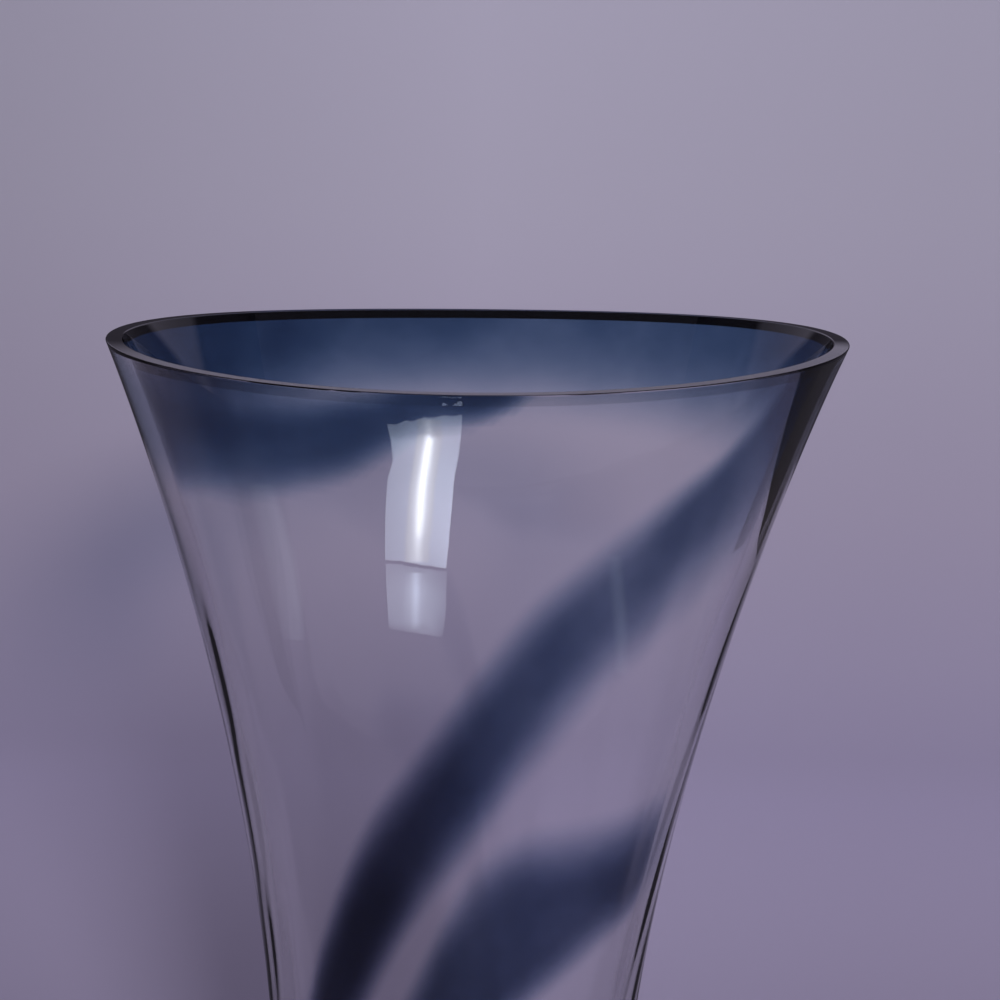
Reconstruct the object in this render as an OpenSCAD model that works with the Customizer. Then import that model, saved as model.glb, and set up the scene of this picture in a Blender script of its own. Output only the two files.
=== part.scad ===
// A flared vase of blown glass. A clear inner gather carries two blue trails, a clear casing
// covers them, and a dark wrap closes the lip.
// The vase stands on Z = 0 with its axis on Z, and its front looks along -Y.
// Turns are counted in degrees from the front, towards +X and on round the back.

/* [Body] */
// Height of the lip, as a mean round the mouth
height = 300; // [240:1:400]
// Outer radius of the mouth
mouth_r = 95; // [80:0.5:120]
// Lean of the wall at the mouth, from upright
flare_angle = 21; // [12:0.5:28]
// Outer radius of the waist
waist_r = 50; // [42:0.5:60]
// Height of the waist
waist_z = 62; // [50:1:90]
// Outer radius of the foot
foot_r = 54; // [50:0.5:66]
// Radius of the rounded heel
heel_r = 6; // [3:0.5:10]

/* [Wall] */
// Thickness of the wall at the lip
lip_wall = 3.8; // [3:0.1:5.5]
// Thickness of the wall at the waist
waist_wall = 6.5; // [5:0.1:9]
// Thickness of the glass under the floor of the vase
base_h = 28; // [18:0.5:40]
// Thickness of the inner gather under the floor
gather_base_h = 9; // [6:0.5:14]
// Height over which the bottom of the inner gather rounds up into its wall
gather_round_h = 12; // [8:0.5:18]
// Radius of the polished hollow under the foot
pontil_r = 15; // [8:0.5:22]
// Depth of the polished hollow
pontil_h = 2; // [1:0.1:4]

/* [Lip] */
// Height of the dark wrap on the lip
wrap_h = 2.3; // [2:0.1:4]
// How far the lip's top slopes down to the inside, as a share of the wrap's height
lip_drop_share = 0; // [0:0.05:0.5]
// Radius of the lip's outer edge
lip_edge_r = 0.25; // [0.1:0.05:0.5]
// Radius of the lip's inner edge
lip_inner_r = 0.4; // [0.2:0.05:0.8]
// Rise of the lip at the right and fall at the left
lip_slant = 2.4; // [0:0.1:4]
// Rise of the lip at both sides and fall at front and back
lip_sway = 1.4; // [0.4:0.1:3]

/* [Trails] */
// Thickness of the long trail along its middle
trail_t = 1.3; // [1:0.05:1.6]
// Thickness of the short trail along its middle
short_trail_t = 1.3; // [1:0.05:1.6]
// Thickness of a trail along its edges
edge_t = 0.4; // [0.3:0.05:0.5]

/* [Hidden] */
$fn = 360;

// How far up from the waist, and down from the mouth, the wall holds its direction
waist_pull_share = 0.45;
mouth_pull_share = 0.105;
// How far up from the heel, and down from the waist, the foot holds its direction
foot_pull_share = 0.45;
// Part of the wall that lies outside the seam where the casing meets the inner gather
casing_share = 0.6;
// Steps along the wall, the foot, the bowl and the heel
wall_steps = 26;
foot_steps = 6;
bowl_steps = 9;
heel_steps = 5;
// How far the walls run on past the mouth before the lip is cut
overrun = 9;
// How far a trail's inner side is sunk before it is cut to the seam
trail_sink = 3;

// Long trail: [turn, lower edge, upper edge], the edges as shares of the way up from the
// gather's rounded bottom to the lip.
// It climbs from the base, leaves the front, runs round the lip and thins out at the front again.
long_trail_shares = [
    [-98, 0.002, 0.013], [-88, 0.013, 0.074], [-75, 0.046, 0.141], [-60, 0.108, 0.230],
    [-40, 0.225, 0.375], [-21, 0.364, 0.529], [-10, 0.445, 0.626], [3, 0.543, 0.738],
    [13, 0.615, 0.797], [25, 0.697, 0.849], [35, 0.755, 0.902], [45, 0.794, 0.948],
    [54, 0.810, 0.991], [64, 0.817, 1.022], [90, 0.828, 1.033], [120, 0.862, 1.033],
    [150, 0.888, 1.033], [190, 0.897, 1.033], [240, 0.877, 1.033], [272, 0.871, 1.033],
    [300, 0.886, 1.013], [318, 0.897, 0.982], [334, 0.913, 0.975], [346, 0.938, 0.996],
    [358, 0.962, 1.009], [372, 0.996, 1.013]
];
// Short trail, in the same form
short_trail_shares = [
    [-62, 0.001, 0.012], [-50, 0.022, 0.085], [-32, 0.100, 0.245], [-12, 0.220, 0.400],
    [8, 0.350, 0.545], [25, 0.420, 0.583], [40, 0.455, 0.586], [58, 0.485, 0.588],
    [72, 0.505, 0.565], [84, 0.520, 0.545]
];
// Degrees between two cuts across a trail, strips across it, and the degrees its ends thin over
trail_step = 4;
trail_strips = 6;
tail_turn = 16;
// Cuts round the lip wrap, and steps over each of its rounded edges
wrap_cuts = 96;
edge_steps = 4;

// Points of a cubic curve, and its direction there
function cubic(a, b, c, d, t) =
    pow(1 - t, 3) * a + 3 * pow(1 - t, 2) * t * b + 3 * (1 - t) * t * t * c + pow(t, 3) * d;
function cubic_slope(a, b, c, d, t) =
    3 * pow(1 - t, 2) * (b - a) + 6 * (1 - t) * t * (c - b) + 3 * t * t * (d - c);

// Outer line of the wall, from the waist to the mouth, as [radius, height]
waist_pull = waist_pull_share * (height - waist_z);
mouth_pull = mouth_pull_share * (height - waist_z);
flare_way = [sin(flare_angle), cos(flare_angle)];
waist_at = [waist_r, waist_z];
mouth_at = [mouth_r, height];
waist_hold = waist_at + [0, waist_pull];
mouth_hold = mouth_at - mouth_pull * flare_way;
function wall_at(t) = cubic(waist_at, waist_hold, mouth_hold, mouth_at, t);
function wall_normal(t) =
    let (way = cubic_slope(waist_at, waist_hold, mouth_hold, mouth_at, t))
    [way[1], -way[0]] / norm(way);
function wall_thickness(z) =
    waist_wall + (lip_wall - waist_wall) * (z - waist_z) / (height - waist_z);

// One surface of the wall, at a share of its thickness in from outside, run on past the mouth
function wall_line(depth_share) =
    let (line = [for (i = [0 : wall_steps])
        let (t = i / wall_steps, at = wall_at(t))
        at - depth_share * wall_thickness(at[1]) * wall_normal(t)])
    concat(line, [line[wall_steps] + overrun * flare_way]);

// Round bowl that closes a surface, from its floor up to a height where its wall stands upright
function bowl_line(r, floor_z, top_z) = [for (i = [0 : bowl_steps - 1])
    let (a = 90 * i / bowl_steps)
    [r * sin(a), top_z - (top_z - floor_z) * cos(a)]];

// Heel and foot, from the resting face up to the waist
heel_line = [for (i = [0 : heel_steps])
    let (a = 90 * i / heel_steps)
    [foot_r - heel_r + heel_r * sin(a), heel_r - heel_r * cos(a)]];
foot_pull = foot_pull_share * (waist_z - heel_r);
foot_line = [for (i = [1 : foot_steps - 1])
    cubic([foot_r, heel_r], [foot_r, heel_r + foot_pull],
        waist_at - [0, foot_pull], waist_at, i / foot_steps)];

// The three surfaces: outside, the seam between casing and gather, and inside
outside_line = concat(heel_line, foot_line, wall_line(0));
seam_r = waist_r - casing_share * waist_wall;
seam_z = base_h - gather_base_h;
trail_z = seam_z + gather_round_h;
seam_line = concat(bowl_line(seam_r, seam_z, trail_z), [[seam_r, trail_z]],
    wall_line(casing_share));
inside_line = concat(bowl_line(waist_r - waist_wall, base_h, waist_z), wall_line(1));

function reversed(line) = [for (i = [len(line) - 1 : -1 : 0]) line[i]];
// Radius of a surface at a height, along the same straight steps as its solid
function radius_table(line) = [for (p = line) [p[1], p[0]]];
outside_table = radius_table(wall_line(0));
seam_table = radius_table(seam_line);
inside_table = radius_table(wall_line(1));

// The lip follows a wide cylinder that lies across the vase and leans with the slant
slant_angle = atan(lip_slant / mouth_r);
sway_r = mouth_r * mouth_r / (4 * lip_sway);
function lip_axis_z(drop) = height + lip_sway - drop - sway_r / cos(slant_angle);
function lip_z(x, y, drop) =
    lip_axis_z(drop) + x * tan(slant_angle) + sqrt(sway_r * sway_r - y * y) / cos(slant_angle);

module below_lip() {
    translate([0, 0, lip_axis_z(wrap_h)])
        rotate([0, 90 - slant_angle, 0])
            cylinder(r = sway_r, h = 4 * mouth_r, center = true, $fn = 1800);
}

// Smooth value between the rows of a table, passing through each row
function row_before(turn, rows, i = 0) =
    i >= len(rows) - 2 || turn < rows[i + 1][0] ? i : row_before(turn, rows, i + 1);
function row_slope(rows, i, column) =
    let (a = rows[max(i - 1, 0)], b = rows[min(i + 1, len(rows) - 1)])
    (b[column] - a[column]) / (b[0] - a[0]);
function between_rows(turn, rows, column) =
    let (i = row_before(turn, rows), a = rows[i], b = rows[i + 1],
        span = b[0] - a[0], u = (turn - a[0]) / span)
    cubic(a[column], a[column] + row_slope(rows, i, column) * span / 3,
        b[column] - row_slope(rows, i + 1, column) * span / 3, b[column], u);

// A point at a turn, a height and a distance out from the seam
function on_seam(turn, z, out) =
    let (r = lookup(z, seam_table) + out)
    [r * sin(turn), -r * cos(turn), z];

// Faces of a skin of rings joined in a row; a closed skin joins its last ring to its first
function skin_faces(rings, sides, closed) = [
    for (i = [0 : rings - (closed ? 1 : 2)], j = [0 : sides - 1])
        let (k = (i + 1) % rings, m = (j + 1) % sides,
            a = i * sides + j, b = i * sides + m, c = k * sides + m, d = k * sides + j)
        each [[a, b, c], [a, c, d]]
];

// A band of blue glass on the seam, thick along its middle and thin at its edges
module trail_band(rows, middle_t) {
    first = rows[0][0];
    last = rows[len(rows) - 1][0];
    cuts = ceil((last - first) / trail_step);
    points = [for (i = [0 : cuts])
        let (turn = first + (last - first) * i / cuts,
            low = trail_z + (height - trail_z) * between_rows(turn, rows, 1),
            high = trail_z + (height - trail_z) * between_rows(turn, rows, 2),
            ends = min(turn - first, last - turn, tail_turn) / tail_turn,
            crown = (middle_t - edge_t) * sin(90 * ends))
        each concat(
            [for (j = [0 : trail_strips])
                let (across = 2 * j / trail_strips - 1)
                on_seam(turn, low + (high - low) * j / trail_strips,
                    edge_t + crown * (1 - across * across))],
            [on_seam(turn, high, -trail_sink), on_seam(turn, low, -trail_sink)])];
    sides = trail_strips + 3;
    start_cap = [for (j = [sides - 1 : -1 : 0]) j];
    end_cap = [for (j = [0 : sides - 1]) cuts * sides + j];
    polyhedron(points, concat(skin_faces(cuts + 1, sides, false), [start_cap, end_cap]),
        convexity = 10);
}

// Solid core inside the seam, which trims the trails to it
module seam_core() {
    rotate_extrude()
        polygon(concat(seam_line, [[0, seam_line[len(seam_line) - 1][1]]]));
}

module trail(rows, middle_t) {
    intersection() {
        difference() {
            trail_band(rows, middle_t);
            seam_core();
        }
        below_lip();
    }
}

// Clear bubble of glass that the trails are laid on
module inner_gather() {
    color("lightsteelblue")
        intersection() {
            rotate_extrude()
                polygon(concat(seam_line, reversed(inside_line)));
            below_lip();
        }
}

// Blue trail that climbs the front and runs once round the lip
module blue_trail() {
    color("midnightblue")
        trail(long_trail_shares, trail_t);
}

// Second blue trail, low on the front
module short_trail() {
    color("darkslateblue")
        trail(short_trail_shares, short_trail_t);
}

// Clear glass gathered over the trails, with the heavy base and its polished hollow
module outer_casing() {
    hollow_r = (pontil_r * pontil_r + pontil_h * pontil_h) / (2 * pontil_h);
    color("lavender")
        intersection() {
            difference() {
                rotate_extrude()
                    polygon(concat([[0, 0]], outside_line, reversed(seam_line)));
                trail_band(long_trail_shares, trail_t);
                trail_band(short_trail_shares, short_trail_t);
                translate([0, 0, pontil_h - hollow_r])
                    sphere(r = hollow_r);
            }
            below_lip();
        }
}

// Where a surface of the wall meets the underside of the wrap, as [radius, height]
function wrap_foot(turn, table, r = mouth_r, tries = 3) =
    let (z = lip_z(r * sin(turn), -r * cos(turn), wrap_h))
    tries == 0 ? [r, z] : wrap_foot(turn, table, lookup(z, table), tries - 1);

// Rounded edge of the lip, turning from one direction to another round its centre
function edge_arc(centre, r, from, to) = [for (j = [0 : edge_steps])
    let (a = from + (to - from) * j / edge_steps)
    centre + r * [cos(a), sin(a)]];

// Centre of the rounding of a corner, for the way that leads there and the turn made there
function rounding_centre(corner, r, way, turn) =
    corner - r * tan(turn / 2) * [cos(way), sin(way)] + r * [-sin(way), cos(way)];

// Section of the lip wrap between the feet of its outer and inner side
function lip_section(outer, inner) =
    let (lean = [wrap_h * tan(flare_angle), wrap_h],
        outer_top = outer + lean,
        inner_top = inner + (1 - lip_drop_share) * lean,
        across = outer_top - inner_top,
        slope = atan2(across[1], across[0]),
        steep = 90 - flare_angle)
    concat([outer],
        edge_arc(rounding_centre(outer_top, lip_edge_r, steep, 180 + slope - steep), lip_edge_r,
            -flare_angle, 90 + slope),
        edge_arc(rounding_centre(inner_top, lip_inner_r, 180 + slope, steep - slope), lip_inner_r,
            90 + slope, 180 - flare_angle),
        [inner]);

// Dark wrap that closes the lip: its cut top has small polished edges and follows the uneven mouth
module lip_wrap() {
    points = [for (i = [0 : wrap_cuts - 1])
        let (turn = 360 * i / wrap_cuts,
            section = lip_section(wrap_foot(turn, outside_table), wrap_foot(turn, inside_table)))
        each [for (p = section) [p[0] * sin(turn), -p[0] * cos(turn), p[1]]]];
    color("black")
        polyhedron(points, skin_faces(wrap_cuts, 2 * edge_steps + 4, true), convexity = 10);
}

inner_gather();
blue_trail();
short_trail();
outer_casing();
lip_wrap();
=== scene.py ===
# %% [markdown]
# # A flared art glass vase
# The vase is blown from a few gathers of hot glass that fuse into one wall. A blue trail climbs the front,
# runs once round the mouth and thins out. This lesson turns the wall from its half section, paints the
# trails into the glass with an attribute, and lights it like the photograph.

import math

import bmesh
import bpy
import numpy as np
from mathutils import Matrix, Vector


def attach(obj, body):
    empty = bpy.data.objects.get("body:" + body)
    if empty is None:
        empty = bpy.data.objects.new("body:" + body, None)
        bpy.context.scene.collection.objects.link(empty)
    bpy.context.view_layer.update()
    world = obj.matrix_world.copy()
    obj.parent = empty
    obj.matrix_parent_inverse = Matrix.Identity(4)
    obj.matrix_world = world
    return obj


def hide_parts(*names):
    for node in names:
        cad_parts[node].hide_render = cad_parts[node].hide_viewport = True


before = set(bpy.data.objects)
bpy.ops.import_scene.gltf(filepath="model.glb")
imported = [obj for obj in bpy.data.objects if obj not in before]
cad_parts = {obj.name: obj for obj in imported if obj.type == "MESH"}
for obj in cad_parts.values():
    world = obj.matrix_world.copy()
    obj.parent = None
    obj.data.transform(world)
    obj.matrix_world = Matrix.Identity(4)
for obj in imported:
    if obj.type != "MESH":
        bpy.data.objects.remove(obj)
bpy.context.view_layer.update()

# %% [markdown]
# ## The camera
# The photograph looks a little down on the mouth, slightly to the right and with a small roll. The lens
# and the place were found by fitting the outline and the mouth's ellipse, so they are plain numbers here.

# %% Put the camera where the photograph was taken
CAMERA_PLACE = Vector((0.0, -0.4205, 0.3470))
CAMERA_TURN, CAMERA_DIP, CAMERA_ROLL = 0.01925, 0.21199, 0.03706
LENS_MM, SENSOR_MM = 57.6, 36.0
NEAREST, FARTHEST = 0.01, 50.0

ahead = Vector((math.sin(CAMERA_TURN) * math.cos(CAMERA_DIP),
                math.cos(CAMERA_TURN) * math.cos(CAMERA_DIP), -math.sin(CAMERA_DIP)))
level = Vector((math.cos(CAMERA_TURN), -math.sin(CAMERA_TURN), 0.0))
above = level.cross(ahead)
right = math.cos(CAMERA_ROLL) * level + math.sin(CAMERA_ROLL) * above
upward = -math.sin(CAMERA_ROLL) * level + math.cos(CAMERA_ROLL) * above

bpy.ops.object.camera_add(location=CAMERA_PLACE)
camera = bpy.context.object
camera.name = "camera"
camera.rotation_euler = Matrix((right, upward, -ahead)).transposed().to_euler()
camera.data.lens = LENS_MM
camera.data.sensor_width = SENSOR_MM
camera.data.clip_start, camera.data.clip_end = NEAREST, FARTHEST
bpy.context.scene.camera = camera
print("camera", camera.location, [round(math.degrees(a), 2) for a in camera.rotation_euler])

# %% [markdown]
# ## Sizes of the wall
# The same sizes as in the CAD source, in metres. The wall follows one smooth curve from the narrow waist to
# the flared mouth, and its thickness falls from the waist to the lip. A cubic curve was chosen for it, since
# four points give the waist, the flare and how fast one passes into the other.

# %% Sizes
MM = 0.001
HEIGHT, MOUTH_R, FLARE = 300 * MM, 95 * MM, math.radians(21)
WAIST_R, WAIST_Z, FOOT_R, HEEL_R = 50 * MM, 62 * MM, 54 * MM, 6 * MM
LIP_WALL, WAIST_WALL, BASE_H = 3.8 * MM, 6.5 * MM, 28 * MM
HOLLOW_R, HOLLOW_H = 15 * MM, 2 * MM
WRAP_H, LIP_SLANT, LIP_SWAY = 2.3 * MM, 2.4 * MM, 1.4 * MM
LIP_EDGE_R, LIP_INNER_R, GUARD = 0.25 * MM, 0.4 * MM, 0.12 * MM
PAST_MOUTH = 9 * MM
# How far the curve's handles reach, as shares of the height that each curve climbs
WAIST_PULL, MOUTH_PULL, FOOT_PULL = 0.45, 0.105, 0.45
WALL_STEPS, SEGMENTS = 104, 256


def cubic(a, b, c, d, t):
    """Points on a curve from a to d, which the handles b and c pull."""
    t = np.asarray(t, float)[:, None]
    return (1 - t) ** 3 * a + 3 * (1 - t) ** 2 * t * b + 3 * (1 - t) * t * t * c + t ** 3 * d


def cubic_way(a, b, c, d, t):
    """The direction of the curve at t."""
    t = np.asarray(t, float)[:, None]
    return 3 * (1 - t) ** 2 * (b - a) + 6 * (1 - t) * t * (c - b) + 3 * t * t * (d - c)


FLARE_WAY = np.array([math.sin(FLARE), math.cos(FLARE)])
waist, mouth = np.array([WAIST_R, WAIST_Z]), np.array([MOUTH_R, HEIGHT])
WALL = (waist, waist + [0, WAIST_PULL * (HEIGHT - WAIST_Z)],
        mouth - MOUTH_PULL * (HEIGHT - WAIST_Z) * FLARE_WAY, mouth)


def wall_surface(depth_share, steps=400):
    """Radius and height along one surface of the wall, from the waist to past the mouth."""
    t = np.linspace(0, 1, steps)
    at, way = cubic(*WALL, t), cubic_way(*WALL, t)
    out = np.stack([way[:, 1], -way[:, 0]], 1) / np.linalg.norm(way, axis=1)[:, None]
    thick = WAIST_WALL + (LIP_WALL - WAIST_WALL) * (at[:, 1] - WAIST_Z) / (HEIGHT - WAIST_Z)
    line = at - depth_share * thick[:, None] * out
    return np.vstack([line, line[-1] + PAST_MOUTH * FLARE_WAY])


OUTSIDE, INSIDE = wall_surface(0), wall_surface(1)


def radius_at(surface, z):
    return np.interp(z, surface[:, 1], surface[:, 0])


print("outer radius at 200 mm", round(float(radius_at(OUTSIDE, 0.2)) / MM, 2), "mm")

# %% [markdown]
# ## The wall
# A blown wall is round, so it is traced once as a half section and spun. The section starts in the polished
# hollow under the foot, goes up the outside, over the flat cut lip and down the inside to the floor.
# It could be a solidified surface, but the heavy base and the thinning wall need a real section.

# %% Trace the half section
def foot_points():
    """From the hollow's middle over the ground ring, round the heel and up to the waist."""
    ball = (HOLLOW_R ** 2 + HOLLOW_H ** 2) / (2 * HOLLOW_H)
    hollow = [(r, HOLLOW_H - ball + math.sqrt(ball * ball - r * r))
              for r in np.linspace(0, HOLLOW_R, 7)]
    flat = [(r, 0.0) for r in np.linspace(HOLLOW_R, FOOT_R - HEEL_R, 5)[1:]]
    heel = [(FOOT_R - HEEL_R + HEEL_R * math.sin(a), HEEL_R - HEEL_R * math.cos(a))
            for a in np.linspace(0, math.pi / 2, 10)[1:]]
    pull = FOOT_PULL * (WAIST_Z - HEEL_R)
    foot = cubic(np.array([FOOT_R, HEEL_R]), np.array([FOOT_R, HEEL_R + pull]),
                 waist - [0, pull], waist, np.linspace(0, 1, 24)[1:-1])
    return hollow + flat + heel + [tuple(p) for p in foot]


def edge_arc(centre, r, start, end, steps):
    return [centre + r * np.array([math.cos(a), math.sin(a)]) for a in np.linspace(start, end, steps)]


def rounding_centre(corner, r, way, turn):
    """Centre of the rounding of a corner, for the way that leads there and the turn made there."""
    ahead = np.array([math.cos(way), math.sin(way)])
    return corner - r * math.tan(turn / 2) * ahead + r * np.array([-ahead[1], ahead[0]])


def lip_arcs():
    """The small outer and the larger inner rounding of the lip, on each side of its flat top."""
    outer = np.array([radius_at(OUTSIDE, HEIGHT), HEIGHT])
    inner = np.array([radius_at(INSIDE, HEIGHT - WRAP_H) + WRAP_H * math.tan(FLARE), HEIGHT])
    steep = math.pi / 2 - FLARE
    over = edge_arc(rounding_centre(outer, LIP_EDGE_R, steep, math.pi - steep), LIP_EDGE_R,
                    -FLARE, math.pi / 2, 11)
    down = edge_arc(rounding_centre(inner, LIP_INNER_R, math.pi, steep), LIP_INNER_R,
                    math.pi / 2, math.pi - FLARE, 9)
    return over, down


def lip_points():
    """Up the outside, over the two roundings with the flat cut between, and down inside."""
    over, down = lip_arcs()
    cut = (down[0] - over[-1]) / np.linalg.norm(down[0] - over[-1])
    middle = [over[-1] + GUARD * cut, (over[-1] + down[0]) / 2, down[0] - GUARD * cut]
    points = [over[0] - GUARD * FLARE_WAY] + over + middle + down + [down[-1] - GUARD * FLARE_WAY]
    return [tuple(p) for p in points]


def section_points():
    """The whole half section, from the axis under the foot to the axis on the inner floor."""
    heights = np.append(np.linspace(WAIST_Z, HEIGHT - WRAP_H - 2 * GUARD, WALL_STEPS), HEIGHT - WRAP_H)
    wrap_heights = [HEIGHT - share * WRAP_H for share in (0.66, 0.33)]
    outer = [(float(radius_at(OUTSIDE, z)), z) for z in [*heights, *wrap_heights]]
    inner = [(float(radius_at(INSIDE, z)), z) for z in heights[::-1]]
    bowl = [((WAIST_R - WAIST_WALL) * math.sin(a), WAIST_Z - (WAIST_Z - BASE_H) * math.cos(a))
            for a in np.linspace(math.pi / 2, 0, 26)[1:]]
    return foot_points() + outer + lip_points() + inner + bowl


section = section_points()
print("section of", len(section), "points")

# %% Spin it into the wall
MERGE_REACH = 0.01 * MM


def new_point(name, r, z):
    """A plane merged to one vertex, from which a line can be extruded."""
    bpy.ops.object.select_all(action="DESELECT")
    bpy.ops.mesh.primitive_plane_add(size=MM, location=(0, 0, 0))
    piece = bpy.context.object
    piece.name = piece.data.name = name
    bpy.ops.object.mode_set(mode="EDIT")
    bpy.ops.mesh.select_all(action="SELECT")
    bpy.ops.mesh.merge(type="CENTER")
    bpy.ops.transform.translate(value=(r, 0, z))
    return piece


def spin_section(name, points, segments):
    """Extrudes a point along the section, spins it once round and closes its seam."""
    piece = new_point(name, *points[0])
    here = Vector((points[0][0], 0, points[0][1]))
    for r, z in points[1:]:
        step = Vector((r, 0, z)) - here
        bpy.ops.mesh.extrude_region_move(TRANSFORM_OT_translate={"value": step})
        here += step
    bpy.ops.mesh.select_all(action="SELECT")
    bpy.ops.mesh.spin(steps=segments, angle=2 * math.pi, center=(0, 0, 0), axis=(0, 0, 1))
    bpy.ops.mesh.select_all(action="SELECT")
    bpy.ops.mesh.remove_doubles(threshold=MERGE_REACH)
    bpy.ops.mesh.normals_make_consistent(inside=False)
    bpy.ops.object.mode_set(mode="OBJECT")
    bpy.ops.object.shade_smooth()
    return piece


def volume_of(piece):
    """Volume in cubic metres, and how many edges don't lie between two faces."""
    shape = bmesh.new()
    shape.from_mesh(piece.data)
    volume = shape.calc_volume(signed=True)
    loose = sum(not e.is_manifold for e in shape.edges)
    shape.free()
    return volume, loose


vessel = spin_section("vessel", section, SEGMENTS)
volume, loose = volume_of(vessel)
print("vessel", len(vessel.data.polygons), "faces,", round(volume * 1e6, 1), "cm3,", loose, "loose edges")

# %% [markdown]
# ## The uneven mouth
# The mouth was opened by hand, so its lip rises at the right, falls at the left and sags at front and back.
# Every point near the mouth slides along the wall by its share of that, as a glassblower's jacks move it.

# %% Lift and lower the lip
# The heights between which the wall takes up the lip's slant
LIP_FADE = (232 * MM, 296 * MM)


def lip_offset(turn):
    """How much higher the lip is at this turn from the front."""
    return LIP_SLANT * np.sin(turn) - LIP_SWAY * np.cos(2 * turn)


def smooth_step(x, low, high):
    """From 0 at low to 1 at high, without corners."""
    u = np.clip((x - low) / (high - low), 0, 1)
    return u * u * (3 - 2 * u)


def read_points(piece):
    points = np.empty(len(piece.data.vertices) * 3)
    piece.data.vertices.foreach_get("co", points)
    return points.reshape(-1, 3)


def write_points(piece, points):
    piece.data.vertices.foreach_set("co", points.ravel())
    piece.data.update()


def polar(points):
    """Turn from the front, radius and height of each point."""
    return np.arctan2(points[:, 0], -points[:, 1]), np.hypot(points[:, 0], points[:, 1]), points[:, 2]


def from_polar(turn, r, z):
    return np.stack([r * np.sin(turn), -r * np.cos(turn), z], 1)


def slide_lip(piece):
    turn, r, z = polar(read_points(piece))
    middle = (radius_at(OUTSIDE, z) + radius_at(INSIDE, z)) / 2
    share = smooth_step(z, *LIP_FADE)
    moved = z + share * lip_offset(turn)
    outer, inner = r > middle, r <= middle
    new_r = r.copy()
    for side, surface in ((outer, OUTSIDE), (inner, INSIDE)):
        new_r[side] += (radius_at(surface, moved) - radius_at(surface, z))[side]
    write_points(piece, from_polar(turn, np.where(r > 0, new_r, r), moved))


slide_lip(vessel)
print("lip up to", round(float(read_points(vessel)[:, 2].max()) / MM, 2), "mm")

# %% [markdown]
# ## The waves of hand-blown glass
# No blown wall is quite even, and its waves bend what it mirrors. They could be bump in the material, but
# then the outline would stay too smooth, so both sides of the wall move by a few hundredths of a millimetre.
# The waves fade towards the base and the lip.

# %% Let the walls wave a little
# Waves round the wall, their change up the wall in radians per metre, where they start, their height in mm
WAVES = [(9, 10, 0.4, 0.022), (17, -22, 1.9, 0.020), (28, 60, 3.3, 0.014), (37, -95, 5.1, 0.010)]
# The heights where they grow and fade, and how far round the inside's waves are turned, in radians
WAVES_START, WAVES_END, INNER_SHIFT = (60 * MM, 110 * MM), (215 * MM, 296 * MM), 1.1


def wave(turn, z, shift):
    """How far the waves push the wall out at this turn and height."""
    return sum(h * MM * np.sin(m * turn + k * z + m * shift + p) for m, k, p, h in WAVES)


def add_waves(piece):
    turn, r, z = polar(read_points(piece))
    outer = r > (radius_at(OUTSIDE, z) + radius_at(INSIDE, z)) / 2
    share = smooth_step(z, *WAVES_START) * (1 - smooth_step(z, *WAVES_END))
    push = share * np.where(outer, wave(turn, z, 0.0), -wave(turn, z, INNER_SHIFT))
    write_points(piece, from_polar(turn, r + push, z))


add_waves(vessel)
print("waves up to", round(sum(w[3] for w in WAVES), 3), "mm high")
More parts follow.
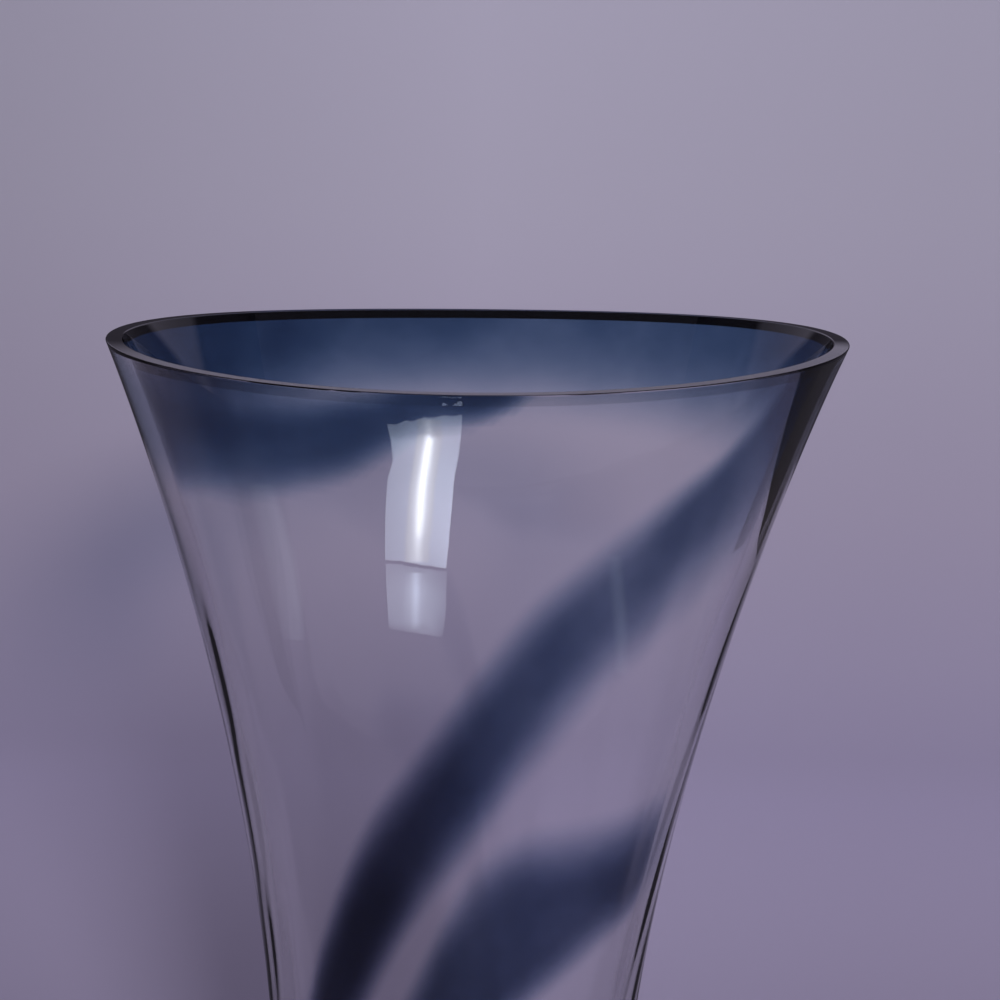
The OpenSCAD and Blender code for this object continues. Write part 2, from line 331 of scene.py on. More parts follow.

# %% [markdown]
# ## The blue trails
# A trail of blue glass was laid on the inner gather and spread as the wall was blown, so it is dense along
# its middle and fades at its edges. How much blue and grey smoke there is at each point is kept as
# attributes, mostly on the inside of the wall, so that the outline stays clear as in the photograph. The cut
# lip is painted with a nearly black line round it, which thins out at the front, where a few short dark marks
# are left.

# %% Density of the coloured glass
# Each row: turn in degrees, lower and upper edge on the inner wall in mm, how wide the lower and the upper
# edge fade in mm, the density of the middle, and the share of grey smoke in its blue
LONG_TRAIL = np.array([
    (-98, 32, 36, 4, 3, 2.6, 0.8), (-88, 35, 54, 8, 6, 3.0, 0.8),
    (-75, 45, 75, 12, 10, 3.2, 0.8), (-60, 63, 101, 16, 14, 3.4, 0.8),
    (-40, 99, 150, 22, 20, 3.9, 0.85), (-21, 137, 192, 24, 23, 3.9, 0.85),
    (-9, 159.5, 213, 24, 24, 3.55, 0.76), (-4, 167.5, 222.5, 24, 24, 3.1, 0.68),
    (0, 173.4, 230.7, 25, 24, 2.75, 0.6), (4, 180.3, 238.6, 25, 24, 2.45, 0.56),
    (8, 186.8, 246.8, 27, 24, 2.25, 0.55), (12, 194, 253.6, 29, 23, 2.15, 0.55),
    (16, 200.3, 258.8, 31, 21, 2.2, 0.55), (20, 206, 263.8, 33, 19, 1.95, 0.55),
    (24, 212.5, 268.7, 34, 17, 1.8, 0.55), (28, 219.8, 272.9, 34, 16, 1.85, 0.55),
    (32, 225, 277.5, 34, 16, 2.2, 0.54), (36, 228.3, 281, 37, 13, 2.5, 0.54),
    (40, 234, 285, 40, 12, 2.4, 0.53), (44, 236.5, 291, 42, 12, 2.3, 0.53),
    (48, 240.4, 298, 42, 12, 2.1, 0.53), (52, 244, 312, 42, 12, 2.1, 0.53),
    (58, 249, 318, 42, 12, 2.8, 0.53), (64, 252, 318, 42, 10, 3.1, 0.54),
    (72, 256, 318, 41, 8, 3.3, 0.55), (80, 259, 318, 40, 8, 3.6, 0.55),
    (90, 262, 318, 40, 8, 3.8, 0.52), (105, 262, 318, 40, 8, 3.3, 0.42),
    (130, 262, 318, 40, 8, 2.65, 0.36), (150, 262, 318, 40, 8, 2.4, 0.36),
    (175, 262, 318, 40, 8, 2.5, 0.37), (195, 262, 318, 40, 8, 3.0, 0.37),
    (215, 260, 318, 38, 8, 3.15, 0.38), (235, 253, 318, 33, 8, 3.2, 0.4),
    (250, 250, 318, 30, 8, 3.6, 0.42), (268, 252, 318, 28, 10, 4.0, 0.43),
    (284, 257, 308, 22, 14, 4.5, 0.42), (296, 261, 305, 18, 14, 3.6, 0.42),
    (308, 265, 296, 12, 12, 1.7, 0.4), (322, 267, 294, 12, 10, 1.9, 0.36),
    (334, 272, 296.5, 11, 9, 2.6, 0.36), (343, 277, 299, 10, 8, 2.9, 0.36),
    (347.5, 281, 301, 10, 8, 2.8, 0.36), (355, 288.5, 306, 9, 6, 3.0, 0.37),
    (361, 291, 310, 7, 6, 3.6, 0.4), (365, 294, 312, 6, 6, 3.0, 0.4),
    (368, 297, 313, 5, 5, 0.7, 0.4), (370, 299, 313, 4, 4, 0.1, 0.4)])
SHORT_TRAIL = np.array([
    (-62, 32, 36, 4, 3, 2.0, 0.7), (-50, 37, 56, 10, 8, 2.4, 0.7),
    (-32, 56, 101, 16, 16, 2.6, 0.66), (-12, 88, 145, 18, 22, 2.6, 0.64),
    (4, 112, 180, 18, 25, 2.5, 0.64), (15, 126, 190, 18, 26, 2.5, 0.64),
    (25, 134, 191, 18, 26, 2.4, 0.64), (37, 142, 191, 18, 26, 2.6, 0.64),
    (44, 146, 191, 18, 26, 3.0, 0.64), (51, 149, 192, 16, 25, 3.2, 0.64),
    (57, 152, 192, 14, 24, 2.7, 0.64), (63, 155, 192, 12, 22, 1.7, 0.64),
    (69, 159, 190, 10, 20, 1.2, 0.64), (75, 163, 188, 8, 16, 0.6, 0.64),
    (80, 167, 185, 6, 12, 0.1, 0.64)])
# How dark the lip's inner band and the short dark marks on its outer edge are, as shares at turns from the
# front
RIM_TURNS = [(-180, 1), (-100, 1), (-68, 0.8), (-45, 0.12), (-20, 0.05), (30, 0.05), (50, 0.12), (70, 0.8),
             (100, 1), (180, 1)]
FRONT_EDGE_MARKS = [(-30.5, 0), (-29.5, 0.9), (-19.5, 1), (-18.8, 0), (-17.2, 0), (-16.8, 0.8), (-15.5, 0.6),
         (-15, 0.05), (9, 0.03), (12, 0.0), (14, 0.4), (19, 0.1), (20, 0.0)]
RIM_DENSITY, FRONT_MARK_DENSITY, MOST_DENSE = 5.0, 4.0, 4.0
# How much of the colour is on the outer surface, and how far the lip's dark parts reach into the wall
OUTER_SHARE = 0.1
BAND_REACH, EDGE_REACH = 0.1 * MM, 0.6 * MM


def between_rows(turn, rows, column):
    """A smooth value through the rows of a table."""
    x, y = rows[:, 0], rows[:, column]
    slopes = np.gradient(y, x)
    i = np.clip(np.searchsorted(x, turn) - 1, 0, len(x) - 2)
    span = x[i + 1] - x[i]
    u = (turn - x[i]) / span
    return ((1 + 2 * u) * (1 - u) ** 2 * y[i] + u * (1 - u) ** 2 * span * slopes[i]
            + u * u * (3 - 2 * u) * y[i + 1] - u * u * (1 - u) * span * slopes[i + 1])


def trail_density(turn, z, rows):
    """Density and smoke of one trail at these turns, in degrees, and heights, over all its rounds."""
    density, smoke = np.zeros(len(turn)), np.zeros(len(turn))
    for rounds in (-360, 0, 360):
        at = turn + rounds
        here = (at >= rows[0, 0]) & (at <= rows[-1, 0])
        t = at[here]
        low, high, fade_low, fade_high = (between_rows(t, rows, c) * MM for c in (1, 2, 3, 4))
        peak = np.clip(between_rows(t, rows, 5), 0, MOST_DENSE)
        part = peak * smooth_step(z[here] - low, 0, fade_low) * smooth_step(high - z[here], 0, fade_high)
        density[here] += part
        smoke[here] += part * between_rows(t, rows, 6)
    return density, smoke


def paint(piece, name, values):
    """Keeps one value for each point as an attribute."""
    layer = piece.data.attributes.new(name, "FLOAT", "POINT")
    layer.data.foreach_set("value", values.astype(np.float32))
    print(name, "up to", round(float(values.max()), 2))


def paint_trails(piece):
    """Blue and smoke in the wall, mostly on its inside, and the dark line round the lip."""
    turn, r, z = polar(read_points(piece))
    degrees = np.degrees(turn)
    outer = r > (radius_at(OUTSIDE, z) + radius_at(INSIDE, z)) / 2
    share = np.where(outer, OUTER_SHARE, 1 - OUTER_SHARE)
    long, long_smoke = trail_density(degrees, z, LONG_TRAIL)
    short, short_smoke = trail_density(degrees, z, SHORT_TRAIL)
    smoke = long_smoke + short_smoke
    over, down = lip_arcs()
    flat_z = z - lip_offset(turn)
    band = (flat_z > HEIGHT - WRAP_H - 0.1 * GUARD) & (r < radius_at(INSIDE, z) + BAND_REACH)
    edge = (flat_z > over[0][1] + 0.1 * GUARD) & (r > radius_at(OUTSIDE, z) - EDGE_REACH)
    rim = np.interp(degrees, *zip(*RIM_TURNS)) * band
    clear = 1 - np.clip(rim, 0, 1)
    paint(piece, "blue", share * (long + short - smoke) * clear)
    paint(piece, "smoke", share * smoke * clear)
    # the lip's nearly black band and the short dark marks on its outer edge are painted into the glass here
    paint(piece, "rim", RIM_DENSITY * rim + FRONT_MARK_DENSITY * edge * np.interp(degrees, *zip(*FRONT_EDGE_MARKS)))


paint_trails(vessel)

# %% [markdown]
# ## The glass
# Clear glass with blue in it: the tint at a point is the blue glass's colour raised to the density there, as
# light fades in thicker glass. A real glass material gives the edges, the dark lines and the mirrored room.
# Lamps pass the glass by a see-through stand-in for shadow rays, so that it throws the pale, tinted shadow of
# glass, which is deepest behind the thick waist.

# %% Helpers for materials
def node(tree, kind, place, **values):
    """A new node, with values for its sockets or settings."""
    made = tree.nodes.new(kind)
    made.location = place
    for key, value in values.items():
        if key in made.inputs:
            made.inputs[key].default_value = value
        else:
            setattr(made, key, value)
    return made


def times(tree, a, b, place):
    """One colour multiplied by another."""
    mix = node(tree, "ShaderNodeMix", place, data_type="RGBA", blend_type="MULTIPLY")
    mix.inputs["Factor"].default_value = 1.0
    tree.links.new(a, mix.inputs["A"])
    tree.links.new(b, mix.inputs["B"])
    return mix.outputs["Result"]


def map_range(tree, place, before, after):
    """A value that runs from before[0] to before[1], moved to run from after[0] to after[1]."""
    return node(tree, "ShaderNodeMapRange", place,
                **{"From Min": before[0], "From Max": before[1], "To Min": after[0], "To Max": after[1]})


def ramp(tree, place, stops):
    """A colour ramp through stops, for a value that runs from the first stop to the last."""
    low, high = stops[0][0], stops[-1][0]
    unit = map_range(tree, place, (low, high), (0.0, 1.0))
    made = node(tree, "ShaderNodeValToRGB", (place[0] + 200, place[1]))
    bands = made.color_ramp.elements
    for at, _ in stops[1:-1]:
        bands.new((at - low) / (high - low))
    for band, (at, colour) in zip(bands, stops):
        colour = colour if isinstance(colour, tuple) else (colour,) * 3
        band.position, band.color = (at - low) / (high - low), (*colour, 1.0)
    tree.links.new(unit.outputs["Result"], made.inputs["Fac"])
    return unit.inputs["Value"], made.outputs["Color"]


# %% Glass material
# Share of the light that one unit of density lets through, for two crossings of the surface
BLUE_GLASS = (0.1353, 0.2894, 0.4630, 1.0)
SMOKE_GLASS = (0.1353, 0.1496, 0.2231, 1.0)
RIM_GLASS = (0.1353, 0.1409, 0.1496, 1.0)
# How uneven the blue is: the size of its clouds, and the least and most of its density
CLOUDS_PER_M, CLOUD_RANGE, BLUE_RANGE = 38.0, (0.3, 0.7), (0.85, 1.15)
# What one surface lets through of a lamp: the thick waist least, the clear base and the thin mouth most
SHADOW_PASS = [(0.0, 0.95), (0.06, 0.93), (0.11, 0.52), (0.135, 0.50), (0.27, 0.96), (HEIGHT, 0.96)]
# The power of the glass's own colour that tints the light of a lamp
SHADOW_TINT = 0.15


def tint_of(tree, attribute, colour, amount, y):
    """The colour of one kind of glass, raised to its density at this point."""
    link = tree.links.new
    here = node(tree, "ShaderNodeAttribute", (-1150, y), attribute_name=attribute)
    tint = node(tree, "ShaderNodeGamma", (-480, y), Color=colour)
    if amount:
        uneven = node(tree, "ShaderNodeMath", (-700, y), operation="MULTIPLY")
        link(here.outputs["Fac"], uneven.inputs[0])
        link(amount, uneven.inputs[1])
        link(uneven.outputs[0], tint.inputs["Gamma"])
    else:
        link(here.outputs["Fac"], tint.inputs["Gamma"])
    return tint.outputs["Color"]


def glass_material(name):
    """Clear glass with the coloured glasses' attributes in it, and a stand-in that lamps see."""
    mat = bpy.data.materials.new(name)
    mat.use_nodes = True
    tree = mat.node_tree
    tree.nodes.clear()
    link = tree.links.new
    where = node(tree, "ShaderNodeTexCoord", (-1700, 0))
    clouds = node(tree, "ShaderNodeTexNoise", (-1150, -100), Scale=CLOUDS_PER_M, Detail=3.0, Roughness=0.55)
    spread = map_range(tree, (-950, -100), CLOUD_RANGE, BLUE_RANGE)
    link(where.outputs["Object"], clouds.inputs["Vector"])
    link(clouds.outputs["Fac"], spread.inputs["Value"])
    uneven = spread.outputs["Result"]
    tint = times(tree, tint_of(tree, "blue", BLUE_GLASS, uneven, 300),
                 tint_of(tree, "smoke", SMOKE_GLASS, uneven, 100), (-300, 200))
    tint = times(tree, tint, tint_of(tree, "rim", RIM_GLASS, None, -300), (-300, 0))
    glass = node(tree, "ShaderNodeBsdfPrincipled", (0, 150), Roughness=0.0, IOR=1.5)
    glass.inputs["Transmission Weight"].default_value = 1.0
    once = node(tree, "ShaderNodeGamma", (-200, -350), Gamma=SHADOW_TINT)
    parts = node(tree, "ShaderNodeSeparateXYZ", (-500, -700))
    passing_in, passing = ramp(tree, (-300, -700), SHADOW_PASS)
    link(where.outputs["Object"], parts.inputs[0])
    link(parts.outputs["Z"], passing_in)
    lamp_side = node(tree, "ShaderNodeBsdfTransparent", (200, -250))
    path = node(tree, "ShaderNodeLightPath", (0, 500))
    mix = node(tree, "ShaderNodeMixShader", (450, 150))
    out = node(tree, "ShaderNodeOutputMaterial", (650, 150))
    link(tint, glass.inputs["Base Color"])
    link(tint, once.inputs["Color"])
    link(times(tree, once.outputs["Color"], passing, (0, -350)), lamp_side.inputs["Color"])
    link(path.outputs["Is Shadow Ray"], mix.inputs[0])
    link(glass.outputs[0], mix.inputs[1])
    link(lamp_side.outputs[0], mix.inputs[2])
    link(mix.outputs[0], out.inputs["Surface"])
    return mat


clear_glass = glass_material("clear_glass_with_blue")
vessel.data.materials.append(clear_glass)
print("material", clear_glass.name)

# %% [markdown]
# ## Floor, wall and light
# The photograph shows only a plain mauve wall close behind the vase. A sweep of card curves up from the floor
# into that wall, with painted shade that darkens it lower down and towards the sides. It shows only its
# front, so the vase can also be looked at from behind. What the glass mirrors of the card is painted darker,
# a painted reflection of a room that is lit mainly at one side.

# %% The card's colours
# The sweep starts this far above the floor
LIFT = 0.3 * MM
MIRRORED_SHADE_COLOUR = (0.050, 0.045, 0.060, 1.0)
# Where the card is painted darker in what the glass mirrors, a painted reflection: by height, and towards
# both sides
MIRRORED_SHADE_RISE = [(0.0, 1), (0.02, 1), (0.05, 0.2), (0.208, 0.2), (0.222, 1), (0.331, 1), (0.339, 0.05),
             (0.45, 0.05)]
MIRRORED_SHADE_ACROSS = [(-0.30, 1), (-0.20, 1), (-0.165, 0), (0.165, 0), (0.20, 1), (0.30, 1)]
# Painted shade on the wall and floor: how the wall's colour changes up its height, darker lower down, and how
# bright it is across its width, darker towards both sides
PAINTED_WALL_SHADE_RISE = [(0.0, (0.245, 0.214, 0.320)), (0.09, (0.304, 0.267, 0.410)), (0.15, (0.336, 0.298, 0.432)),
             (0.2135, (0.356, 0.317, 0.436)), (0.331, (0.370, 0.344, 0.447)), (0.45, (0.370, 0.350, 0.450))]
PAINTED_WALL_SHADE_ACROSS = [(-0.30, 0.78), (-0.174, 0.85), (0.0, 1.0), (0.10, 0.93), (0.174, 0.88), (0.30, 0.84)]


def card_material(name):
    """Mauve card with painted shade and a painted darker reflection; its raised part lets the view pass from
    behind.
    """
    mat = bpy.data.materials.new(name)
    mat.use_nodes = True
    tree = mat.node_tree
    tree.nodes.clear()
    link = tree.links.new
    paper = node(tree, "ShaderNodeBsdfPrincipled", (0, 0), Roughness=0.9)
    paper.inputs["Specular IOR Level"].default_value = 0.1
    where = node(tree, "ShaderNodeTexCoord", (-1200, 0))
    parts = node(tree, "ShaderNodeSeparateXYZ", (-1000, 0))
    rise_in, rise = ramp(tree, (-800, 100), PAINTED_WALL_SHADE_RISE)
    across_in, across = ramp(tree, (-800, -200), PAINTED_WALL_SHADE_ACROSS)
    link(where.outputs["Object"], parts.inputs[0])
    link(parts.outputs["Z"], rise_in)
    link(parts.outputs["X"], across_in)
    # painted shade: the card's colour darkens lower down and towards both sides
    link(times(tree, rise, across, (-250, 0)), paper.inputs["Base Color"])
    # a ray that passed through the glass counts as mirrored too, so it is taken off
    path = node(tree, "ShaderNodeLightPath", (-100, 400))
    mirrored = node(tree, "ShaderNodeMath", (100, 400), operation="SUBTRACT", use_clamp=True)
    link(path.outputs["Is Glossy Ray"], mirrored.inputs[0])
    link(path.outputs["Is Transmission Ray"], mirrored.inputs[1])
    height_in, height = ramp(tree, (-400, 900), MIRRORED_SHADE_RISE)
    beside_in, beside = ramp(tree, (-400, 650), MIRRORED_SHADE_ACROSS)
    either = node(tree, "ShaderNodeMath", (100, 700), operation="ADD", use_clamp=True)
    darker = node(tree, "ShaderNodeMath", (300, 400), operation="MULTIPLY")
    link(parts.outputs["Z"], height_in)
    link(parts.outputs["X"], beside_in)
    link(height, either.inputs[0])
    link(beside, either.inputs[1])
    link(mirrored.outputs[0], darker.inputs[0])
    link(either.outputs[0], darker.inputs[1])
    # painted reflection: the dark colour that the glass mirrors in place of the card
    mirrored_shade = node(tree, "ShaderNodeBsdfDiffuse", (0, -350), Color=MIRRORED_SHADE_COLOUR)
    both = node(tree, "ShaderNodeMixShader", (300, 0))
    # the floor under the vase stays solid from both sides
    raised = node(tree, "ShaderNodeMath", (300, 650), operation="GREATER_THAN")
    raised.inputs[1].default_value = LIFT / 2
    side = node(tree, "ShaderNodeNewGeometry", (300, 850))
    behind = node(tree, "ShaderNodeMath", (500, 650), operation="MULTIPLY")
    gone = node(tree, "ShaderNodeBsdfTransparent", (300, -300))
    mix = node(tree, "ShaderNodeMixShader", (500, 0))
    out = node(tree, "ShaderNodeOutputMaterial", (700, 0))
    link(darker.outputs[0], both.inputs[0])
    link(paper.outputs[0], both.inputs[1])
    link(mirrored_shade.outputs[0], both.inputs[2])
    link(parts.outputs["Z"], raised.inputs[0])
    link(side.outputs["Backfacing"], behind.inputs[0])
    link(raised.outputs[0], behind.inputs[1])
    link(behind.outputs[0], mix.inputs[0])
    link(both.outputs[0], mix.inputs[1])
    link(gone.outputs[0], mix.inputs[2])
    link(mix.outputs[0], out.inputs["Surface"])
    return mat


card_paper = card_material("mauve_card")
print("material", card_paper.name)

# %% Floor and sweep
WALL_Y, WALL_TOP, CURVE_R = 0.20, 3.0, 0.11
HALF_WIDE, STRIP = 4.0, 0.01
START_Y = WALL_Y - CURVE_R

bpy.ops.object.select_all(action="DESELECT")
bpy.ops.mesh.primitive_plane_add(size=2 * HALF_WIDE, location=(0, 0, 0))
floor = bpy.context.object
floor.name = "floor"
floor.data.materials.append(card_paper)

bpy.ops.mesh.primitive_plane_add(size=1.0, location=(0, 0, 0))
sweep = bpy.context.object
sweep.name = "sweep"
write_points(sweep, np.array([(x, y, LIFT) for y in (START_Y - STRIP, START_Y)
                              for x in (-HALF_WIDE, HALF_WIDE)]))
bpy.ops.object.mode_set(mode="EDIT")
bpy.ops.mesh.select_mode(type="EDGE")
bpy.ops.mesh.select_all(action="DESELECT")
bpy.ops.object.mode_set(mode="OBJECT")
for edge in sweep.data.edges:
    edge.select = all(sweep.data.vertices[v].co.y > START_Y - STRIP / 2 for v in edge.vertices)
bpy.ops.object.mode_set(mode="EDIT")
curve = [(START_Y + CURVE_R * math.sin(a), LIFT + CURVE_R - CURVE_R * math.cos(a))
         for a in np.linspace(0, math.pi / 2, 25)] + [(WALL_Y, WALL_TOP)]
for (y0, z0), (y1, z1) in zip(curve, curve[1:]):
    bpy.ops.mesh.extrude_region_move(TRANSFORM_OT_translate={"value": (0, y1 - y0, z1 - z0)})
bpy.ops.object.mode_set(mode="OBJECT")
bpy.ops.object.shade_smooth()
sweep.data.materials.append(card_paper)
up = sum(p.normal.z * p.area for p in sweep.data.polygons if p.center.z < CURVE_R / 2)
if up < 0:
    bpy.ops.object.mode_set(mode="EDIT")
    bpy.ops.mesh.select_all(action="SELECT")
    bpy.ops.mesh.flip_normals()
    bpy.ops.object.mode_set(mode="OBJECT")
print("sweep", len(sweep.data.polygons), "faces")

# %% [markdown]
# ### The room's light
# The picture has the soft, even light of a room, with one lamp at the upper right that throws the vase's
# pale shadow on the wall. The world fills the room evenly, and one soft square light stands for the lamp.
# Past the edges of the card the world looks like it, and what the glass mirrors of the world is darker.

# %% World
FILL_STRENGTH, MIRRORED_STRENGTH = 0.60, 0.3
FILL_COLOUR, SEEN_COLOUR = (1.0, 0.98, 1.0, 1.0), (0.300, 0.272, 0.375, 1.0)
MIRRORED_COLOUR = (0.30, 0.27, 0.36, 1.0)

world = bpy.data.worlds.new("studio")
bpy.context.scene.world = world
world.use_nodes = True
tree = world.node_tree
tree.nodes.clear()
fill = node(tree, "ShaderNodeBackground", (0, 0), Color=FILL_COLOUR, Strength=FILL_STRENGTH)
seen = node(tree, "ShaderNodeBackground", (0, -200), Color=SEEN_COLOUR, Strength=1.0)
dim = node(tree, "ShaderNodeBackground", (0, -400), Color=MIRRORED_COLOUR, Strength=MIRRORED_STRENGTH)
path = node(tree, "ShaderNodeLightPath", (-400, 300))
through = node(tree, "ShaderNodeMath", (-200, 300), operation="MAXIMUM")
first = node(tree, "ShaderNodeMixShader", (250, 0))
second = node(tree, "ShaderNodeMixShader", (450, 0))
out = node(tree, "ShaderNodeOutputWorld", (650, 0))
link = tree.links.new
link(path.outputs["Is Camera Ray"], through.inputs[0])
link(path.outputs["Is Transmission Ray"], through.inputs[1])
link(path.outputs["Is Glossy Ray"], first.inputs[0])
link(fill.outputs[0], first.inputs[1])
link(dim.outputs[0], first.inputs[2])
link(through.outputs[0], second.inputs[0])
link(first.outputs[0], second.inputs[1])
link(seen.outputs[0], second.inputs[2])
link(second.outputs[0], out.inputs["Surface"])
print("world", world.name, "with", len(tree.nodes), "nodes")

# %% Lamp
LAMP_PLACE, LAMP_AIM = (0.39, -1.24, 1.02), (0, 0.1, 0.2)
LAMP_SIZE, LAMP_WATTS = 0.36, 16.1


def lamp(name, place, target, size, watts):
    """A soft square light, which the vase doesn't mirror."""
    bpy.ops.object.light_add(type="AREA", location=place)
    made = bpy.context.object
    made.name = name
    made.data.shape, made.data.size = "SQUARE", size
    made.data.energy = watts
    made.rotation_euler = (Vector(target) - Vector(place)).to_track_quat("-Z", "Y").to_euler()
    made.visible_camera = made.visible_transmission = made.visible_glossy = False
    return made


key = lamp("key", LAMP_PLACE, LAMP_AIM, LAMP_SIZE, LAMP_WATTS)
print("lamp", key.name, "at", [round(v, 2) for v in key.location])

# %% [markdown]
# ### Gleams
# The photograph's brightest marks are a window with a lit tube, mirrored low in the wall. Bright cards stand
# where they would be in the room. They show only where something mirrors them, so the shade of the scene
# stays as it is.

# %% Cards that the glass mirrors
# Each row: left end, middle and right end in mm, and how bright the card is at five places across
PANE = [
    ((-119.7, -253.2, 87.6), (-67.7, -270.2, 85.0), (-15.1, -277.3, 84.3), (1.8, 2.2, 2.4, 2.4, 2.2)),
    ((-117.0, -254.2, 85.5), (-66.7, -270.5, 82.7), (-15.3, -277.7, 81.8), (2.8, 3.2, 3.8, 4.0, 3.8)),
    ((-115.3, -254.7, 84.3), (-66.1, -270.5, 81.6), (-15.8, -277.6, 80.8), (4.4, 5.4, 6.0, 5.8, 5.2)),
    ((-113.5, -254.7, 80.6), (-67.3, -269.6, 77.8), (-19.5, -276.8, 76.7), (4.2, 5.0, 6.6, 6.6, 6.2)),
    ((-122.4, -249.8, 77.5), (-74.2, -267.0, 74.5), (-24.2, -275.6, 73.1), (3.8, 4.8, 7.0, 7.2, 7.2)),
    ((-127.0, -245.7, 71.8), (-78.2, -264.4, 68.8), (-27.2, -273.7, 67.2), (3.9, 5.0, 7.2, 7.0, 7.4)),
    ((-129.8, -241.8, 64.8), (-81.8, -261.3, 61.6), (-30.5, -271.0, 59.1), (3.7, 4.8, 6.6, 6.4, 7.2)),
    ((-131.6, -238.7, 58.8), (-85.2, -258.5, 55.6), (-33.9, -268.6, 52.4), (3.2, 4.4, 5.6, 5.2, 6.0))]
LOW_PANE = [
    ((-131.2, -238.6, 57.9), (-84.0, -258.6, 54.7), (-32.3, -268.6, 51.6), (1.9, 2.0, 2.4, 2.2, 1.2)),
    ((-131.5, -237.3, 54.7), (-84.4, -257.7, 52.0), (-32.6, -267.9, 49.4), (2.2, 2.8, 3.2, 2.8, 1.6)),
    ((-131.9, -235.9, 51.2), (-84.8, -256.5, 48.7), (-32.9, -267.0, 46.3), (2.6, 3.2, 4.2, 3.9, 2.2)),
    ((-131.8, -234.6, 47.1), (-84.3, -255.3, 44.4), (-32.4, -266.0, 42.1), (2.5, 3.0, 3.8, 3.6, 2.0)),
    ((-131.6, -233.7, 43.6), (-85.6, -253.5, 40.4), (-35.1, -264.6, 38.0), (2.2, 2.6, 3.2, 3.0, 1.4)),
    ((-131.5, -233.1, 41.6), (-87.4, -252.2, 38.1), (-38.2, -263.6, 35.6), (0.6, 1.2, 1.6, 1.8, 0.8))]
TUBE = [
    ((-75.4, -260.1, 94.1), (-59.2, -263.9, 93.3), (-43.0, -266.8, 92.7), (2.2, 3.0, 4.2, 3.0, 2.4)),
    ((-75.1, -260.1, 92.0), (-58.5, -264.0, 91.2), (-41.6, -267.0, 90.7), (3.2, 4.2, 7.5, 4.2, 4.0)),
    ((-76.7, -259.5, 91.0), (-59.3, -263.7, 90.2), (-41.7, -266.9, 89.7), (6.0, 9, 24, 9, 5.8)),
    ((-82.0, -257.2, 87.4), (-64.1, -262.0, 86.6), (-45.9, -265.6, 86.0), (5.8, 10, 26, 10, 6.6)),
    ((-88.4, -253.8, 82.2), (-70.3, -259.1, 81.3), (-51.7, -263.2, 80.6), (5.6, 10.5, 26, 10.5, 7.0)),
    ((-92.4, -250.7, 76.4), (-73.7, -256.6, 75.5), (-54.5, -261.1, 74.7), (5.6, 10, 24, 10, 6.8)),
    ((-95.0, -248.6, 72.6), (-76.0, -254.9, 71.7), (-56.4, -259.6, 70.9), (5.4, 9, 20, 9, 6.4)),
    ((-96.5, -247.3, 70.3), (-78.1, -253.6, 69.5), (-59.0, -258.4, 68.7), (5.2, 8, 13.5, 8, 6.3)),
    ((-99.0, -244.8, 65.4), (-79.8, -251.6, 64.6), (-59.8, -256.8, 63.7), (4.6, 7, 10, 7, 5.4))]
LOW_TUBE = [
    ((-101.5, -242.9, 62.8), (-81.5, -250.3, 62.0), (-60.4, -255.9, 61.0), (2.4, 3.6, 7.2, 3.6, 2.6)),
    ((-103.0, -240.9, 58.7), (-82.0, -248.9, 57.8), (-59.9, -254.7, 56.8), (3.6, 5.2, 9.4, 5.2, 4.0)),
    ((-105.1, -238.7, 54.7), (-83.4, -247.1, 53.7), (-60.4, -253.4, 52.7), (3.4, 4.6, 7.8, 4.6, 3.6)),
    ((-106.3, -236.9, 50.7), (-83.8, -245.6, 49.6), (-60.2, -252.2, 48.6), (2.9, 3.6, 6.0, 3.6, 3.1)),
    ((-106.7, -236.1, 48.9), (-84.0, -245.0, 47.7), (-60.2, -251.7, 46.8), (1.4, 1.8, 3.0, 1.8, 1.6))]
LEFT_PANE = [
    ((-294.7, -67.5, 100.3), (-284.9, -96.9, 94.0), (-273.1, -123.0, 88.4), (0.05, 0.25, 0.30, 0.20, 0.00)),
    ((-291.9, -66.7, 89.7), (-279.9, -101.6, 82.5), (-266.0, -130.3, 76.9), (0.05, 0.35, 0.45, 0.50, 0.05)),
    ((-288.8, -64.5, 77.6), (-275.8, -102.9, 70.4), (-260.5, -133.6, 65.0), (0.05, 0.40, 0.45, 0.65, 0.05)),
    ((-285.4, -63.1, 65.0), (-273.5, -99.8, 59.1), (-257.8, -132.2, 53.5), (0.05, 0.35, 0.45, 0.75, 0.05)),
    ((-282.0, -61.9, 52.5), (-273.0, -91.9, 48.3), (-259.0, -123.9, 43.1), (0.00, 0.20, 0.40, 0.45, 0.05))]
RIGHT_PANE = [
    ((219.3, -191.6, 58.3), (231.1, -178.1, 60.6), (242.2, -163.7, 63.2), (0.00, 0.22, 0.44, 0.33, 0.00)),
    ((236.5, -162.9, 45.9), (246.7, -149.6, 48.6), (257.4, -132.9, 51.9), (0.00, 0.28, 0.55, 0.44, 0.00)),
    ((249.0, -137.8, 33.4), (259.3, -118.5, 36.4), (268.5, -98.7, 40.0), (0.00, 0.22, 0.44, 0.22, 0.00))]


WINDOW_COLOUR, TUBE_COLOUR = (0.86, 0.97, 1.18, 1.0), (0.95, 1.0, 1.05, 1.0)
ACROSS = 5


def glow_material(name, colour):
    """A light surface, as bright at each point as its glow attribute says."""
    mat = bpy.data.materials.new(name)
    mat.use_nodes = True
    tree = mat.node_tree
    tree.nodes.clear()
    glow = node(tree, "ShaderNodeAttribute", (-400, 0), attribute_name="glow")
    shine = node(tree, "ShaderNodeEmission", (0, 0), Color=colour)
    out = node(tree, "ShaderNodeOutputMaterial", (200, 0))
    tree.links.new(glow.outputs["Fac"], shine.inputs["Strength"])
    tree.links.new(shine.outputs[0], out.inputs["Surface"])
    return mat


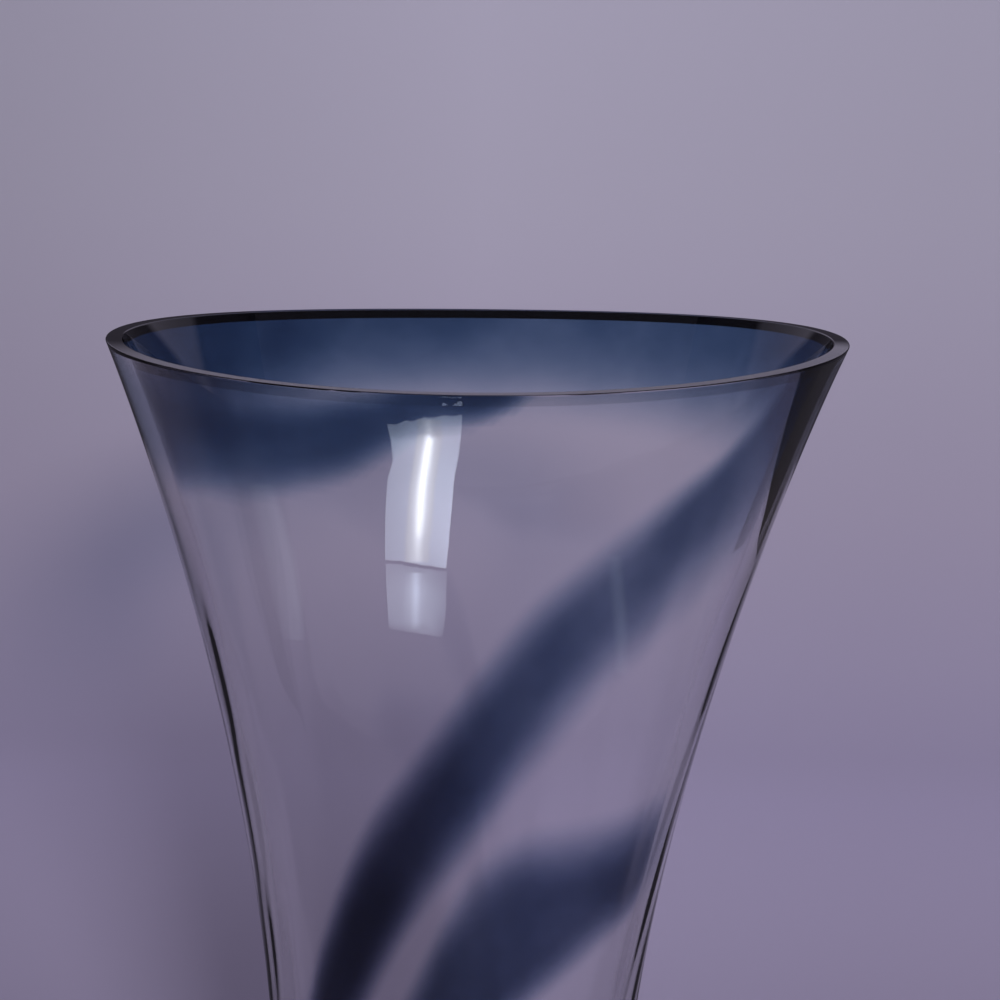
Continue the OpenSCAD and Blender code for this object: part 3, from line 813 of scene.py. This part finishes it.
def card(name, rows, mat):
    """A bowed card through the rows, which shows only where it is mirrored."""
    bpy.ops.mesh.primitive_grid_add(x_subdivisions=ACROSS - 1, y_subdivisions=len(rows) - 1, size=1.0,
                                    location=(0, 0, 0))
    made = bpy.context.object
    made.name = name
    points = read_points(made)
    order = np.lexsort((points[:, 0], points[:, 1].round(4)))
    u = np.linspace(0, 1, ACROSS)[:, None]
    bow = [(1 - u) * (1 - 2 * u), 4 * u * (1 - u), u * (2 * u - 1)]
    points[order] = np.vstack([sum(b * np.array(p) for b, p in zip(bow, row)) for row in rows]) * MM
    write_points(made, points)
    glow = np.empty(len(points))
    glow[order] = [g for row in rows for g in row[3]]
    paint(made, "glow", glow)
    made.data.materials.append(mat)
    made.visible_camera = made.visible_diffuse = made.visible_transmission = made.visible_shadow = False
    return made


window = glow_material("window_glow", WINDOW_COLOUR)
lit_tube = glow_material("tube_glow", TUBE_COLOUR)
cards = [card("window_pane", PANE, window), card("window_low_pane", LOW_PANE, window),
         card("window_tube", TUBE, lit_tube), card("window_low_tube", LOW_TUBE, window),
         card("left_pane", LEFT_PANE, window), card("right_pane", RIGHT_PANE, window)]
print(len(cards), "gleam cards ready")

# %% [markdown]
# ### Black flag
# A dark card out of the picture at the right gives the glass its dark line near the outline there, as in a
# studio. It shows only through the glass.

# %% Flag
FLAG_CORNERS = [(0.165, 0.19, 0.17), (0.60, 0.19, 0.10), (0.165, 0.19, 0.60), (0.60, 0.19, 0.60)]
FLAG_COLOUR = (0.020, 0.017, 0.016, 1.0)


def flag(name, corners, colour):
    """A black cloth, which only shows through the glass."""
    bpy.ops.mesh.primitive_grid_add(x_subdivisions=1, y_subdivisions=1, size=1.0, location=(0, 0, 0))
    made = bpy.context.object
    made.name = name
    points = read_points(made)
    points[np.lexsort((points[:, 0], points[:, 1].round(4)))] = corners
    write_points(made, points)
    mat = bpy.data.materials.new(name + "_cloth")
    mat.use_nodes = True
    cloth = mat.node_tree.nodes["Principled BSDF"]
    cloth.inputs["Base Color"].default_value = colour
    cloth.inputs["Roughness"].default_value = 1.0
    cloth.inputs["Specular IOR Level"].default_value = 0.0
    made.data.materials.append(mat)
    made.visible_camera = made.visible_diffuse = made.visible_glossy = made.visible_shadow = False
    return made


right_flag = flag("right_flag", FLAG_CORNERS, FLAG_COLOUR)
print("flag", right_flag.name, "with", len(right_flag.data.polygons), "face")

# %% [markdown]
# ## Handing over
# The real vase is one fused piece of glass, with no surface left between its gathers. So one mesh stands for
# all the solids of the CAD part, and it rides on the body that they belong to.

# %% Hand the vase over
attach(vessel, "root")
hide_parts("inner_gather", "outer_casing", "blue_trail", "short_trail", "lip_wrap")
bpy.context.scene.view_settings.view_transform = "Standard"
